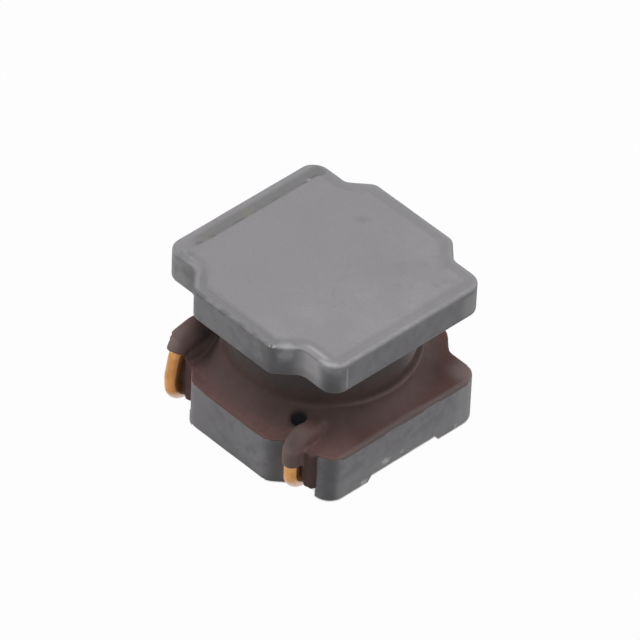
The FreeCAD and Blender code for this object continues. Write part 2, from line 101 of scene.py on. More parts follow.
def ring_mesh(name, rings, close=False):
    """Closed mesh through rings of points, capped at both ends or joined end to end."""
    shape = bmesh.new()
    rows = [[shape.verts.new(point) for point in ring] for ring in rings]
    pairs = list(zip(rows, rows[1:])) + ([(rows[-1], rows[0])] if close else [])
    for low, high in pairs:
        for i in range(len(low)):
            j = (i + 1) % len(low)
            shape.faces.new((low[i], low[j], high[j], high[i]))
    if not close:
        shape.faces.new(rows[0][::-1])
        shape.faces.new(rows[-1])
    bmesh.ops.recalc_face_normals(shape, faces=shape.faces)
    mesh = bpy.data.meshes.new(name)
    shape.to_mesh(mesh)
    shape.free()
    piece = bpy.data.objects.new(name, mesh)
    bpy.context.collection.objects.link(piece)
    return piece


def flange_shell(name, rows, tab_radius):
    """One flange as a closed shell. Each row is an inset, a height and how far it is drawn in."""
    rings = []
    for inset, z, *drawn in rows:
        scale = drawn[0] if drawn else 1.0
        rings.append([Vector((p.x * scale, p.y * scale, z)) for p in flange_loop(inset, tab_radius)])
    return ring_mesh(name, rings)


def worn_edge(inset, low, high, radius, steps=4, rows=6):
    """Rows of a wall between two worn edges."""
    def corner(z, sign):
        angles = [math.pi / 2 * step / steps for step in range(steps + 1)]
        return [(inset + radius * (1 - math.sin(a)), z + sign * radius * (1 - math.cos(a)))
                for a in angles]
    walls = [(inset, low + radius + (high - low - 2 * radius) * row / rows) for row in range(1, rows)]
    return corner(low, 1) + walls + corner(high, -1)[::-1]


def apply_modifiers(piece):
    """The piece's mesh after its modifiers, which are then gone."""
    evaluated = piece.evaluated_get(bpy.context.evaluated_depsgraph_get())
    mesh = bpy.data.meshes.new_from_object(evaluated)
    old = piece.data
    piece.modifiers.clear()
    piece.data = mesh
    bpy.data.meshes.remove(old)


def boolean(piece, other, operation):
    cut = piece.modifiers.new(operation, "BOOLEAN")
    cut.operation = operation
    cut.solver = "EXACT"
    cut.object = other
    apply_modifiers(piece)
    bpy.data.objects.remove(other)


def disc(radius, z, count=128):
    return [Vector((radius * math.cos(2 * math.pi * i / count),
                    radius * math.sin(2 * math.pi * i / count), z)) for i in range(count)]


def bar(name, corners, axis, start, end):
    """Straight bar with a polygonal section, along X or Y."""
    place = {"X": lambda a, b, s: Vector((s, a, b)), "Y": lambda a, b, s: Vector((a, s, b))}[axis]
    return ring_mesh(name, [[place(a, b, s) for a, b in corners] for s in (start, end)])


# Inside the rim the top sinks and then rises to its level middle
LAND_EDGE = 0.40
rim_hollow = [(inset, RIM + rise) for inset, rise in (
    (0.10, -0.004), (0.14, -0.015), (0.18, -0.030), (0.22, -0.040), (0.26, -0.039), (0.30, -0.027),
    (0.33, -0.011), (0.355, 0.006), (0.38, 0.022))]
land = [(LAND_EDGE, TOP - 0.002), (LAND_EDGE + 0.02, TOP)]
land += [(LAND_EDGE + 0.02, TOP, scale) for scale in (0.95, 0.85, 0.7, 0.5, 0.3)]


def cap(z):
    """Rows that close the level side of a flange, from the middle outwards."""
    return [(0.2, z, scale) for scale in (0.3, 0.6, 0.85)] + [(0.2, z)]


drum_core = flange_shell("ferrite_drum_core",
                         cap(CEILING) + worn_edge(FILM_STEP, CEILING, RIM, UPPER_WEAR) + rim_hollow + land,
                         TAB_RADIUS_UPPER)
lower = flange_shell("lower_flange",
                     cap(LOWER_FOOT) + worn_edge(FILM_STEP, LOWER_FOOT, LOWER_FACE, LOWER_WEAR)
                     + cap(LOWER_FACE)[::-1], TAB_RADIUS_LOWER)
# The hollow behind the left rim is wider: the land draws back from it
DRAWN_BACK, DRAWN_FROM, LEFT_RIM = 0.13, -1.6, -2.90
for vertex in drum_core.data.vertices:
    p = vertex.co
    if p.z > RIM - 0.04 and p.x < DRAWN_FROM:
        inner = min((DRAWN_FROM - p.x) / 0.8, 1)
        p.x += DRAWN_BACK * inner * min(max((p.x - LEFT_RIM) / 0.16, 0), 1)
post = ring_mesh("post", [disc(POST_RADIUS, LOWER_FACE - POST_ROOT), disc(POST_RADIUS, CEILING + POST_ROOT)])
boolean(drum_core, post, "UNION")
boolean(drum_core, lower, "UNION")
# The channel and the two wire grooves are cut from below the board and through both walls
BELOW, THROUGH = -0.1, 4
CHANNEL_HALF, CHANNEL_FOOT, CHANNEL_CEILING = 1.05, 1.17, 0.18
channel = bar("channel", [(-CHANNEL_FOOT - 0.02, BELOW), (CHANNEL_FOOT + 0.02, BELOW), (CHANNEL_FOOT, 0.03),
                          (CHANNEL_HALF, CHANNEL_CEILING), (-CHANNEL_HALF, CHANNEL_CEILING),
                          (-CHANNEL_FOOT, 0.03)], "X", -THROUGH, THROUGH)
boolean(drum_core, channel, "DIFFERENCE")
GROOVE_NEAR, GROOVE_FAR, GROOVE_CEILING, GROOVE_SLANT = 1.71, 2.52, 0.46, 0.10
for side in (-1, 1):
    near, far, slant = side * GROOVE_NEAR, side * GROOVE_FAR, side * GROOVE_SLANT
    shoulder = GROOVE_CEILING - GROOVE_SLANT
    groove = bar("groove", [(near, BELOW), (far, BELOW), (far, shoulder), (far - slant, GROOVE_CEILING),
                            (near + slant, GROOVE_CEILING), (near, shoulder)], "Y", -THROUGH, THROUGH)
    boolean(drum_core, groove, "DIFFERENCE")


# The wobble of the pressed walls is random, from one seed, so that each run gives the same core
PRESSING_SEED = 5


def finish_mesh(piece, slot, *nodes, sharp=40, wobble=0.0):
    """Last steps for a piece made in millimetres: uneven pressing, shading, size in metres."""
    noise.seed_set(PRESSING_SEED)
    for vertex in piece.data.vertices:
        if wobble:
            push = noise.noise_vector(vertex.co * 0.9) + 0.4 * noise.noise_vector(vertex.co * 3.1)
            vertex.co.x += wobble * push.x
            vertex.co.y += wobble * push.y
        vertex.co *= MM
    piece.data.polygons.foreach_set("use_smooth", [True] * len(piece.data.polygons))
    piece.data.set_sharp_from_angle(angle=math.radians(sharp))
    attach(piece, "root")
    if nodes:
        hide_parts(*nodes)


class Field:
    """A socket of a material's node tree, so that patterns are written as plain sums."""

    def __init__(self, tree, socket=None):
        self.tree, self.socket = tree, socket

    def node(self, kind, settings=None, inputs=None, output=0):
        made = self.tree.nodes.new("ShaderNode" + kind)
        for name, setting in (settings or {}).items():
            setattr(made, name, setting)
        for key, given in (inputs or {}).items():
            if isinstance(given, Field):
                self.tree.links.new(given.socket, made.inputs[key])
            else:
                made.inputs[key].default_value = given
        return Field(self.tree, made.outputs[output])

    def math(self, operation, *values):
        return self.node("Math", {"operation": operation}, dict(enumerate(values)))

    def __add__(self, other):
        return self.math("ADD", self, other)

    def __sub__(self, other):
        return self.math("SUBTRACT", self, other)

    def __rsub__(self, other):
        return self.math("SUBTRACT", other, self)

    def __mul__(self, other):
        return self.math("MULTIPLY", self, other)

    __radd__, __rmul__ = __add__, __mul__

    def rise(self, low, high):
        """0 below low, 1 above high, smooth between. High may be the lower value."""
        return self.node("MapRange", {"interpolation_type": "SMOOTHSTEP"},
                         {"Value": self, "From Min": low, "From Max": high})

    def near(self, middle, reach):
        """1 at a value, falling to 0 at a reach on either side."""
        return (self - middle).math("ABSOLUTE", self - middle).rise(reach, 0.0)


def finish_material(name):
    """New material: its position field in millimetres, its tree and its shader."""
    made = bpy.data.materials.new(name)
    made.use_nodes = True
    tree = made.node_tree
    shader = tree.nodes["Principled BSDF"]
    start = Field(tree)
    place = start.node("TexCoord", output="Object")
    place = start.node("VectorMath", {"operation": "SCALE"}, {0: place, "Scale": 1 / MM})
    return made, place, tree, shader


def grain(place, scale, detail=2.0):
    """Noise with a number of lumps to the millimetre, around 0.5."""
    return place.node("TexNoise", None, {"Vector": place, "Scale": scale, "Detail": detail})


def blend(factor, first, second):
    """Colour mix. The colours are fields or linear RGB triples."""
    def colour(value):
        return value if isinstance(value, Field) else (*value, 1)
    mix = factor.tree.nodes.new("ShaderNodeMix")
    mix.data_type = "RGBA"
    for index, given in ((0, factor), (6, colour(first)), (7, colour(second))):
        if isinstance(given, Field):
            factor.tree.links.new(given.socket, mix.inputs[index])
        else:
            mix.inputs[index].default_value = given
    return Field(factor.tree, mix.outputs[2])


def link(tree, field, socket):
    tree.links.new(field.socket, socket)


def spot(place, x, y, z, reach, soft=0.5):
    """1 within a reach of a point, in millimetres, with a soft border."""
    away = place.node("VectorMath", {"operation": "DISTANCE"}, {0: place, 1: (x, y, z)}, "Value")
    return away.rise(reach, reach * soft)


def paint(colour, *marks):
    """Lays marks over a colour in turn, each a mask and its own colour."""
    for mask, mark in marks:
        colour = blend(mask, colour, mark)
    return colour


ferrite, place, tree, shader = finish_material("sintered_ferrite")
across, along, height = [place.node("SeparateXYZ", None, {0: place}, axis) for axis in "XYZ"]
cloud = grain(place, 0.9, 3).rise(0.35, 0.68)
speckle = grain(place, 9.0, 3).rise(0.3, 0.72)
grit = grain(place, 34.0, 2)
top_face = height.rise(4.30, 4.34)
blotch = grain(place, 2.6, 3).rise(0.52, 0.70) * along.rise(-0.3, 1.0) * top_face
dull = spot(place, 0.90, 1.20, TOP, 1.50, 0.1) * top_face
walls = height.rise(4.26, 4.16)
streak = grain(place, 3.4, 3).rise(0.40, 0.66)
pale = grain(place, 2.4, 4).rise(0.55, 0.72)
pores = place.node("TexVoronoi", None, {"Vector": place, "Scale": 3.2}, "Distance").rise(0.085, 0.03)
colour = blend(cloud, (0.268, 0.260, 0.272), (0.298, 0.290, 0.301))
colour = paint(colour,
               (blotch * 0.45, (0.215, 0.208, 0.218)),
               (dull * 0.55, (0.235, 0.228, 0.238)),
               (walls * streak * 0.7, (0.205, 0.200, 0.206)),
               (walls * pale * 0.5, (0.340, 0.331, 0.338)),
               (across.rise(1.4, -0.6) * top_face * 0.8, (0.258, 0.250, 0.262)),
               (speckle * 0.30, (0.235, 0.228, 0.236)),
               (pores * 0.45, (0.110, 0.105, 0.110)))
# Painted shade lies in the hollow behind the left rim, with a darker painted shadow of the land's step along
# its edge
left_hollow_shade = across.rise(-2.87, -2.72) * across.rise(-2.40, -2.50) * height.rise(4.2, 4.24)
left_hollow_shade = left_hollow_shade * along.rise(-2.1, -1.3) * along.rise(2.45, 2.3)
green = grain(place, 1.4, 2).rise(0.50, 0.62)
land_edge_shadow = left_hollow_shade * across.near(-2.50, 0.07) * grain(place, 5.0, 3).rise(0.44, 0.56)
colour = paint(colour,
               (left_hollow_shade * 0.9, blend(green, (0.158, 0.154, 0.156), (0.172, 0.172, 0.146))),
               (land_edge_shadow * 0.8, (0.085, 0.083, 0.084)))
# The front walls of the upper flange are pale and dark in turn: painted light on the left corner and in the
# right notch, painted shade on and beside the slant by the right tab, at the front corner and towards the
# foot of the walls, and mottled patches between
front_turn = along.rise(-2.06, -2.24)
front = front_turn * height.rise(3.4, 3.5) * height.rise(4.31, 4.27)
low = height.rise(4.25, 3.70)
mottle = grain(place, 2.2, 3).rise(0.30, 0.55)
colour = paint(colour,
               (front * across.rise(0.2, -0.6) * mottle * 0.8, (0.315, 0.306, 0.312)),
               (front * across.rise(0.2, 0.9) * across.rise(1.5, 1.4) * mottle * 0.6, (0.175, 0.170, 0.172)),
               (front * across.rise(-2.05, -2.30) * mottle * 0.85, (0.410, 0.400, 0.404)),
               (front * across.rise(0.95, 1.22) * across.rise(1.64, 1.36) * 0.55, (0.150, 0.146, 0.150)),
               (front * across.near(1.62, 0.34) * low * 0.65, (0.120, 0.116, 0.120)),
               (front * across.rise(1.66, 2.04) * across.rise(2.66, 2.36) * 0.9, (0.570, 0.552, 0.560)),
               (front * across.near(2.79, 0.32) * low * 0.85, (0.105, 0.102, 0.106)),
               (front * across.near(-1.72, 0.42) * 0.8, (0.185, 0.180, 0.185)),
               (front * height.rise(3.85, 3.60) * across.rise(0.2, 0.7) * 0.4, (0.120, 0.116, 0.120)))
# The right side is paler at the foot of the lower flange and at the back of the upper one
side_foot = across.rise(2.90, 2.97) * height.rise(1.42, 1.32)
side_wall = across.rise(2.92, 2.98)
back_end = along.rise(1.65, 2.0) * height.rise(3.45, 3.6) * height.rise(4.2, 4.1)
colour = paint(colour,
               (side_foot * along.rise(1.55, 1.95) * 0.65, (0.410, 0.400, 0.404)),
               (side_foot * height.rise(0.75, 0.35) * 0.45, (0.380, 0.371, 0.378)),
               (side_wall * walls * height.rise(3.3, 3.4) * 0.4, (0.200, 0.196, 0.201)),
               (side_wall * back_end * 0.8, (0.400, 0.392, 0.396)))
# Painted shade darkens the lower front walls where they turn, and painted light brightens their left end
lower_walls = height.rise(1.45, 1.30)
turns = (across.near(1.52, 0.32) + across.near(2.83, 0.34)) * front_turn * lower_walls
lit_left_end = across.rise(-0.2, -1.0) * along.rise(-2.8, -2.9) * lower_walls
colour = paint(colour,
               (turns * 0.75, (0.120, 0.116, 0.120)),
               (lit_left_end * 0.7, (0.310, 0.298, 0.308)))
# The hollow holds painted shade, the front lip is chipped and carries painted shade along its edge, and the
# right lip has a patchy painted highlight
inside_lip = across.rise(2.90, 2.82) * along.rise(-2.92, -2.86)
hollow = height.rise(4.325, 4.295) * height.rise(4.24, 4.27) * inside_lip
rough = grain(place, 4.0, 3).rise(0.38, 0.60)
front_lip = along.rise(-2.84, -2.91) * height.rise(4.20, 4.27) * across.rise(2.0, 1.5)
lip = height.rise(4.25, 4.29) * height.rise(4.33, 4.32)
lip_highlight = lip * across.rise(2.84, 2.92) * grain(place, 4.0, 3).rise(0.4, 0.7)
colour = paint(colour,
               (hollow * (0.35 + 0.45 * along.rise(-2.3, -2.5)), (0.200, 0.195, 0.202)),
               (front_lip * (0.35 + 0.5 * rough), (0.140, 0.136, 0.140)),
               (lip_highlight * 0.4, (0.375, 0.368, 0.378)))
# Ragged marks: a place, a reach, how strong the mark is, and how pale. The two palest flecks, on the front
# edge beside the right tab, are painted glints
stray = place.node("TexNoise", None, {"Vector": place, "Scale": 5.0, "Detail": 3.0}, "Color")
stray = place.node("VectorMath", {"operation": "MULTIPLY_ADD"}, {0: stray, 1: (0.35, 0.35, 0.2), 2: place})
ragged = place.node("VectorMath", {"operation": "SUBTRACT"}, {0: stray, 1: (0.175, 0.175, 0.1)})
for x, y, z, reach, share, tone in (
        (2.70, -2.40, 4.33, 0.34, 0.7, 0.48), (1.56, -2.64, 4.34, 0.30, 0.6, 0.44),
        (1.62, -2.76, 4.10, 0.26, 0.8, 0.46), (2.93, -2.25, 4.15, 0.20, 0.5, 0.42),
        (-2.43, -2.29, 4.33, 0.30, 0.5, 0.17), (-2.58, -1.74, 4.33, 0.15, 0.6, 0.10),
        (-0.58, 1.79, 4.35, 0.24, 0.3, 0.15), (0.96, -2.42, 4.35, 0.05, 0.8, 0.07),
        (-2.92, -1.98, 4.26, 0.06, 0.8, 0.09), (1.44, -2.90, 4.32, 0.06, 0.9, 0.80),
        (1.28, -2.95, 4.32, 0.05, 0.8, 0.66), (-2.54, 1.83, 4.34, 0.08, 0.6, 0.62),
        (-0.80, -3.0, 4.04, 0.05, 0.6, 0.45), (-0.56, -3.0, 4.02, 0.04, 0.6, 0.45),
        (2.99, 1.80, 1.30, 0.05, 0.7, 0.50), (3.0, -0.56, 0.34, 0.16, 0.9, 0.66),
        (3.0, -0.03, 0.32, 0.11, 0.8, 0.56), (3.0, -1.31, 0.10, 0.12, 0.9, 0.70),
        (3.0, 1.77, 0.12, 0.09, 0.8, 0.60)):
    colour = blend(spot(ragged, x, y, z, reach, 0.2) * share, colour, (tone, tone * 0.98, tone))
# A pale upright line on the right wall where it starts to round towards the front
upright_pale_line = along.near(-2.0, 0.05) * across.rise(2.9, 2.97) * height.rise(3.50, 3.62) * height.rise(4.25, 4.1)
colour = blend(upright_pale_line * 0.7, colour, (0.46, 0.45, 0.46))
link(tree, colour, shader.inputs["Base Color"])
link(tree, 0.60 + 0.16 * grit, shader.inputs["Roughness"])
relief = grit * 0.25 + grain(place, 12.0, 3) * 0.55 + grain(place, 2.6, 2) * 0.6
bump = relief.node("Bump", None, {"Strength": 0.35, "Distance": 0.03 * MM, "Height": relief})
link(tree, bump, shader.inputs["Normal"])
drum_core.data.materials.append(ferrite)
finish_mesh(drum_core, "ferrite", "drum_core", wobble=0.007)

# The winding is one length of enamelled copper wire, laid on the post in two layers. Both ends
# leave at the front, bend down in the notches and run under the lower flange in the grooves,
# where they are tinned.
WIRE = 0.40
TURN_PITCH = WIRE + 0.03
INNER_LAYER, OUTER_LAYER = 1.71, 2.12
FIRST_TURN = 1.54
GROOVE_WIRE, DROP, LEAD_END = 0.22, -2.72, 1.90
LEFT_X, RIGHT_X = -2.25, 1.95
SHOULDER = LOWER_FACE + 0.20
TIGHT_BEND, EASY_BEND, SLOW_BEND = 0.3, 0.45, 0.9
TURNS_UP, TURNS_ACROSS, TURNS_DOWN, TURNS_LEVEL = 3.5, 0.5, 2.0, 0.5
wire_route = [((RIGHT_X, LEAD_END, GROOVE_WIRE), 0), ((RIGHT_X, DROP, GROOVE_WIRE), TIGHT_BEND),
              ((RIGHT_X, DROP, FIRST_TURN), TIGHT_BEND), ((RIGHT_X, -2.07, FIRST_TURN), EASY_BEND),
              ((INNER_LAYER, -INNER_LAYER, FIRST_TURN), SLOW_BEND)]
for quarter in range(round(4 * (TURNS_UP + TURNS_ACROSS + TURNS_DOWN + TURNS_LEVEL))):
    turned = (quarter + 0.5) / 4
    crossed = min(max((turned - TURNS_UP) / TURNS_ACROSS, 0), 1)
    lowered = min(max((turned - TURNS_UP - TURNS_ACROSS) / TURNS_DOWN, 0), 1)
    radius = (INNER_LAYER + (OUTER_LAYER - INNER_LAYER) * crossed) * math.sqrt(2)
    angle = 2 * math.pi * turned
    z = FIRST_TURN + TURN_PITCH * (min(turned, TURNS_UP) - (TURNS_UP - 1) * lowered)
    wire_route.append(((radius * math.cos(angle), radius * math.sin(angle), z),
                       radius / math.sqrt(2) * 0.995))
LAST_TURN = FIRST_TURN + TURN_PITCH
wire_route += [((-OUTER_LAYER, -OUTER_LAYER, LAST_TURN), TIGHT_BEND),
               ((LEFT_X + 0.05, DROP + 0.04, SHOULDER), TIGHT_BEND),
               ((LEFT_X, DROP - 0.04, 0.80), SLOW_BEND),
               ((LEFT_X, DROP, GROOVE_WIRE), TIGHT_BEND), ((LEFT_X, LEAD_END, GROOVE_WIRE), 0)]


def wire_tree():
    """Geometry Nodes: rounds the corners of a route and gives it the thickness of a wire."""
    tree = bpy.data.node_groups.new("bent_wire", "GeometryNodeTree")
    tree.interface.new_socket("Route", in_out="INPUT", socket_type="NodeSocketGeometry")
    thickness = tree.interface.new_socket("Thickness", in_out="INPUT", socket_type="NodeSocketFloat")
    coat = tree.interface.new_socket("Finish", in_out="INPUT", socket_type="NodeSocketMaterial")
    tree.interface.new_socket("Wire", in_out="OUTPUT", socket_type="NodeSocketGeometry")

    def add(kind, settings, links):
        made = tree.nodes.new(kind)
        for key, setting in settings.items():
            if hasattr(made, key):
                setattr(made, key, setting)
            else:
                made.inputs[key].default_value = setting
        for key, source in links.items():
            tree.links.new(source, made.inputs[key])
        return made
    given = add("NodeGroupInput", {}, {})
    bends = add("GeometryNodeInputNamedAttribute", {"data_type": "FLOAT", "Name": "bend"}, {})
    route = add("GeometryNodeMeshToCurve", {}, {"Mesh": given.outputs["Route"]})
    rounded = add("GeometryNodeFilletCurve", {"mode": "POLY", "Count": 14, "Limit Radius": False},
                  {"Curve": route.outputs[0], "Radius": bends.outputs["Attribute"]})
    half = add("ShaderNodeMath", {"operation": "MULTIPLY"}, {0: given.outputs["Thickness"]})
    half.inputs[1].default_value = 0.5
    section = add("GeometryNodeCurvePrimitiveCircle", {"Resolution": 24}, {"Radius": half.outputs[0]})
    tube = add("GeometryNodeCurveToMesh", {"Fill Caps": True},
               {"Curve": rounded.outputs[0], "Profile Curve": section.outputs[0]})
    smooth = add("GeometryNodeSetShadeSmooth", {}, {"Geometry": tube.outputs[0]})
    real = add("GeometryNodeRealizeInstances", {}, {"Geometry": smooth.outputs[0]})
    coated = add("GeometryNodeSetMaterial", {}, {"Geometry": real.outputs[0],
                                                 "Material": given.outputs["Finish"]})
    add("NodeGroupOutput", {}, {"Wire": coated.outputs[0]})
    return tree, thickness.identifier, coat.identifier


bent_wire, thickness_input, finish_input = wire_tree()


def bent_tube(name, route, thickness, finish):
    """Wire or sleeve along a route of corners, each with the radius of its bend."""
    mesh = bpy.data.meshes.new(name)
    mesh.from_pydata([point for point, _ in route], [(i, i + 1) for i in range(len(route) - 1)], [])
    mesh.attributes.new("bend", "FLOAT", "POINT").data.foreach_set("value", [bend for _, bend in route])
    piece = bpy.data.objects.new(name, mesh)
    bpy.context.collection.objects.link(piece)
    nodes = piece.modifiers.new("bent_wire", "NODES")
    nodes.node_group = bent_wire
    nodes[thickness_input] = thickness
    nodes[finish_input] = finish
    apply_modifiers(piece)
    return piece


copper, place, tree, shader = finish_material("enamelled_copper")
across, along, height = [place.node("SeparateXYZ", None, {0: place}, axis) for axis in "XYZ"]
tinned = (height + 0.06 * grain(place, 6.0)).rise(0.20, 0.06)
tint = blend(grain(place, 5.0, 3).rise(0.35, 0.7), (0.62, 0.30, 0.085), (0.78, 0.41, 0.14))
# On each lead the enamel is amber over the middle, with a painted reflection of the white surroundings on
# one side and painted shade on the other side
for x, amber_share, reflection_share, shade_share in ((LEFT_X, 0.5, 0.1, 0.50), (RIGHT_X, 0.2, 0.8, 0.15)):
    from_left, this_lead = across.rise(x - 0.4, x - 0.3), across.rise(x + 0.4, x + 0.3)
    tint = paint(tint,
                 (across.rise(x - 0.02, x + 0.10) * this_lead * amber_share, (0.60, 0.22, 0.05)),
                 (across.near(x - 0.18, 0.13) * from_left * reflection_share, (0.80, 0.58, 0.46)),
                 (across.rise(x + 0.11, x + 0.20) * this_lead * shade_share, (0.22, 0.075, 0.03)))
# A painted glint near the top of the left lead's bend; the leads grow paler towards their feet
glint = spot(place, LEFT_X + 0.10, -2.80, 1.56, 0.14, 0.2)
tint = paint(tint,
             (height.rise(0.50, 0.22) * along.rise(-2.3, -2.5), (0.78, 0.57, 0.48)),
             (glint * 0.4, (0.92, 0.55, 0.22)))
link(tree, blend(tinned, tint, (0.80, 0.72, 0.62)), shader.inputs["Base Color"])
shader.inputs["Metallic"].default_value = 0.6
link(tree, 0.24 + 0.2 * tinned, shader.inputs["Roughness"])
winding = bent_tube("copper_winding", wire_route, WIRE, copper)
finish_mesh(winding, "copper", "winding", sharp=60)

# The resin is loaded with magnetic powder, poured round the winding and cured. It stands as a
# round wall between the flanges, with a ridge over the last turn, and runs out to the edges of
# the lower flange and a little over them. It also sleeves both leads and fills their notches.
WALL, INSIDE = 2.39, 2.16
SKIRT_START, SKIRT_RUN = 2.42, 0.84
SKIRT_RISE, RIDGED_RISE = 0.62, 0.42
# The ridge shows round this heading, in degrees from +X, and fades out towards its ends
RIDGE_MIDDLE, RIDGE_END, RIDGE_FADE = 8, 52, 26


def ridge_share(heading):
    """1 where the last turn stands out of the resin, 0 where the resin is one smooth hollow."""
    angle = math.degrees(math.atan2(heading.y, heading.x))
    share = min(max((RIDGE_END - abs(angle - RIDGE_MIDDLE)) / RIDGE_FADE, 0), 1)
    return share * share * (3 - 2 * share)


def skirt(reach, ridged):
    """Height of the resin at a distance from the axis, outside its wall."""
    out = min(max((reach - SKIRT_START) / SKIRT_RUN, 0), 1)
    low = LOWER_FACE + 0.035
    return low + (SKIRT_RISE + (RIDGED_RISE - SKIRT_RISE) * ridged) * (1 - out) ** 2.5


def resin_column(edge):
    """One upright section of the poured resin, out to a point on the edge of the flange."""
    reach, heading = edge.length, edge.normalized()
    x, y = edge
    ridged = ridge_share(heading)
    sag = 0.02 + 0.02 * noise.noise(Vector((x * 1.1, y * 1.1, 4.0)))
    if abs(x) > BODY_HALF - 0.02 and x > 0:
        sag += 0.10 + 0.05 * noise.noise(Vector((0, y * 1.6, 7.0)))
    if y < -2.98:
        sag += 0.02 + 0.03 * min(max(x + 0.4, 0), 1)
    wall = [(INSIDE, CEILING + 0.04), (WALL + 0.12, CEILING + 0.04), (WALL + 0.10, CEILING - 0.01),
            (WALL + 0.03, CEILING - 0.09), (WALL, CEILING - 0.22), (WALL - 0.005, 2.95), (WALL, 2.65),
            (WALL, 2.40)]
    # The ridge and the smooth hollow, as steps out from the wall and heights
    hump = [(-0.01, 2.24), (-0.04, 2.13), (0.0, 2.08), (0.06, 2.06), (0.108, 2.01), (0.12, 1.95),
            (0.095, 1.88), (0.075, 1.83)]
    hollow = [(0.004, 2.28), (0.01, 2.20), (0.015, 2.14), (0.02, 2.09), (0.028, 2.05), (0.036, 2.01),
              (0.045, 1.97), (0.055, 1.935)]
    section = wall + [(WALL + b + (a - b) * ridged, d + (c - d) * ridged)
                      for (a, c), (b, d) in zip(hump, hollow)]
    first = section[-1][0] + 0.004
    for share in (0.02, 0.08, 0.16, 0.25, 0.35, 0.46, 0.58, 0.70, 0.80, 0.88, 0.94, 0.975):
        out = first + (reach - first) * share
        section.append((out, skirt(out, ridged)))
    top = skirt(reach, ridged)
    section += [(reach - 0.012, top - 0.006), (reach, top - 0.03), (reach, LOWER_FACE - 0.4 * sag),
                (reach, LOWER_FACE - sag), (reach - 0.12, LOWER_FACE - sag - 0.02),
                (reach - 0.3, LOWER_FACE - 0.12), (INSIDE, LOWER_FACE - 0.12)]
    return [Vector((heading.x * r, heading.y * r, z)) for r, z in section]


columns = [resin_column(edge) for edge in flange_loop(0.0, TAB_RADIUS_LOWER, 0.06)]
resin = ring_mesh("magnetic_resin_fill", list(zip(*columns)), close=True)


def join(piece, others):
    """Merges other pieces' meshes into the first."""
    shape = bmesh.new()
    for each in (piece, *others):
        shape.from_mesh(each.data)
    shape.to_mesh(piece.data)
    shape.free()
    for each in others:
        bpy.data.objects.remove(each)


# Sleeves over both leads, the mounds from which they leave the wall, and the bed of the left one
SLEEVE = WIRE + 0.09
LEFT_SLEEVE = SLEEVE + 0.03
RIGHT_MOUND, LEFT_MOUND = 0.61, 0.56
resin_finish, place, tree, shader = finish_material("magnetic_resin")
coats = [bent_tube(name, route, thickness, resin_finish) for name, thickness, route in (
    ("right_sleeve", SLEEVE,
     [((RIGHT_X, DROP, 0.87), 0), ((RIGHT_X, DROP, FIRST_TURN), TIGHT_BEND),
      ((RIGHT_X, -2.12, FIRST_TURN - 0.02), EASY_BEND), ((1.80, -1.5, 1.50), 0)]),
    ("right_mound", RIGHT_MOUND, [((1.66, -1.60, 1.47), 0), ((1.92, -2.42, 1.38), 0)]),
    ("left_sleeve", LEFT_SLEEVE,
     [((LEFT_X + 0.04, DROP + 0.03, 1.57), 0), ((-2.24, -2.58, 1.72), 0.1),
      ((-OUTER_LAYER, -OUTER_LAYER, LAST_TURN), TIGHT_BEND), ((-OUTER_LAYER, -0.5, LAST_TURN), 0)]),
    ("left_mound", LEFT_MOUND,
     [((-2.04, -1.30, 2.10), 0), ((-2.20, -2.05, 2.06), TIGHT_BEND), ((-2.29, -2.55, 1.80), 0)]),
    ("left_bed", LEFT_MOUND,
     [((-1.80, -1.50, 1.75), 0), ((-2.05, -2.00, 1.60), TIGHT_BEND), ((-2.24, -2.50, 1.40), 0)]))]


def web(x, foot):
    """Resin behind and beside a lead, from the flange nearly down to the board."""
    rings = [[Vector((x + a, b, z)) for a, b in ((-0.08, -2.30), (-0.08, -2.50), (0.20, -2.52),
                                                 (0.30, -2.60), (0.54, -2.60 + lean), (0.62, -2.30))]
             for z, lean in ((foot, 0.04), (0.8, 0.0), (LOWER_FACE + 0.03, 0.0))]
    return ring_mesh("web", rings)


join(resin, coats + [web(LEFT_X, 0.18), web(RIGHT_X, 0.25)])
# One mesh round the wall, sleeves and webs, settled as the resin does before it cures
remesh = resin.modifiers.new("pour", "REMESH")
remesh.mode = "VOXEL"
remesh.voxel_size = 0.038
settle = resin.modifiers.new("settle", "SMOOTH")
settle.factor, settle.iterations = 0.5, 7
apply_modifiers(resin)
PIT = Vector((1.52, -2.08, 1.66))
PIT_REACH, PIT_DEPTH = 0.22, 0.20
for vertex in resin.data.vertices:
    p = vertex.co
    lump = noise.noise(p * 1.3) * 0.018 + noise.noise(p * 4.5 + Vector((3, 1, 2))) * 0.006
    if p.z > LOWER_FACE + 0.02:
        p += Vector((p.x, p.y, 0)).normalized() * lump
        p.z += lump * 0.6
    out = p - PIT
    if out.length < PIT_REACH:
        p.z -= PIT_DEPTH * math.sqrt(1 - (out.length / PIT_REACH) ** 2)
    p.x = max(-BODY_HALF, min(BODY_HALF, p.x))
    p.y = max(-BODY_HALF, min(BODY_HALF, p.y))

across, along, height = [place.node("SeparateXYZ", None, {0: place}, axis) for axis in "XYZ"]
axis_line = place.node("CombineXYZ", None, {"Z": height})
away = place.node("VectorMath", {"operation": "DISTANCE"}, {0: place, 1: axis_line}, "Value")
cloud = grain(place, 0.8, 3).rise(0.3, 0.7)
foot = away.near(2.60, 0.45) * height.rise(2.10, 1.95) * along.rise(2.6, 2.0)
rim_film = across.rise(2.86, 2.97) * along.rise(2.5, 2.2)
colour = blend(cloud, (0.080, 0.048, 0.043), (0.102, 0.061, 0.054))
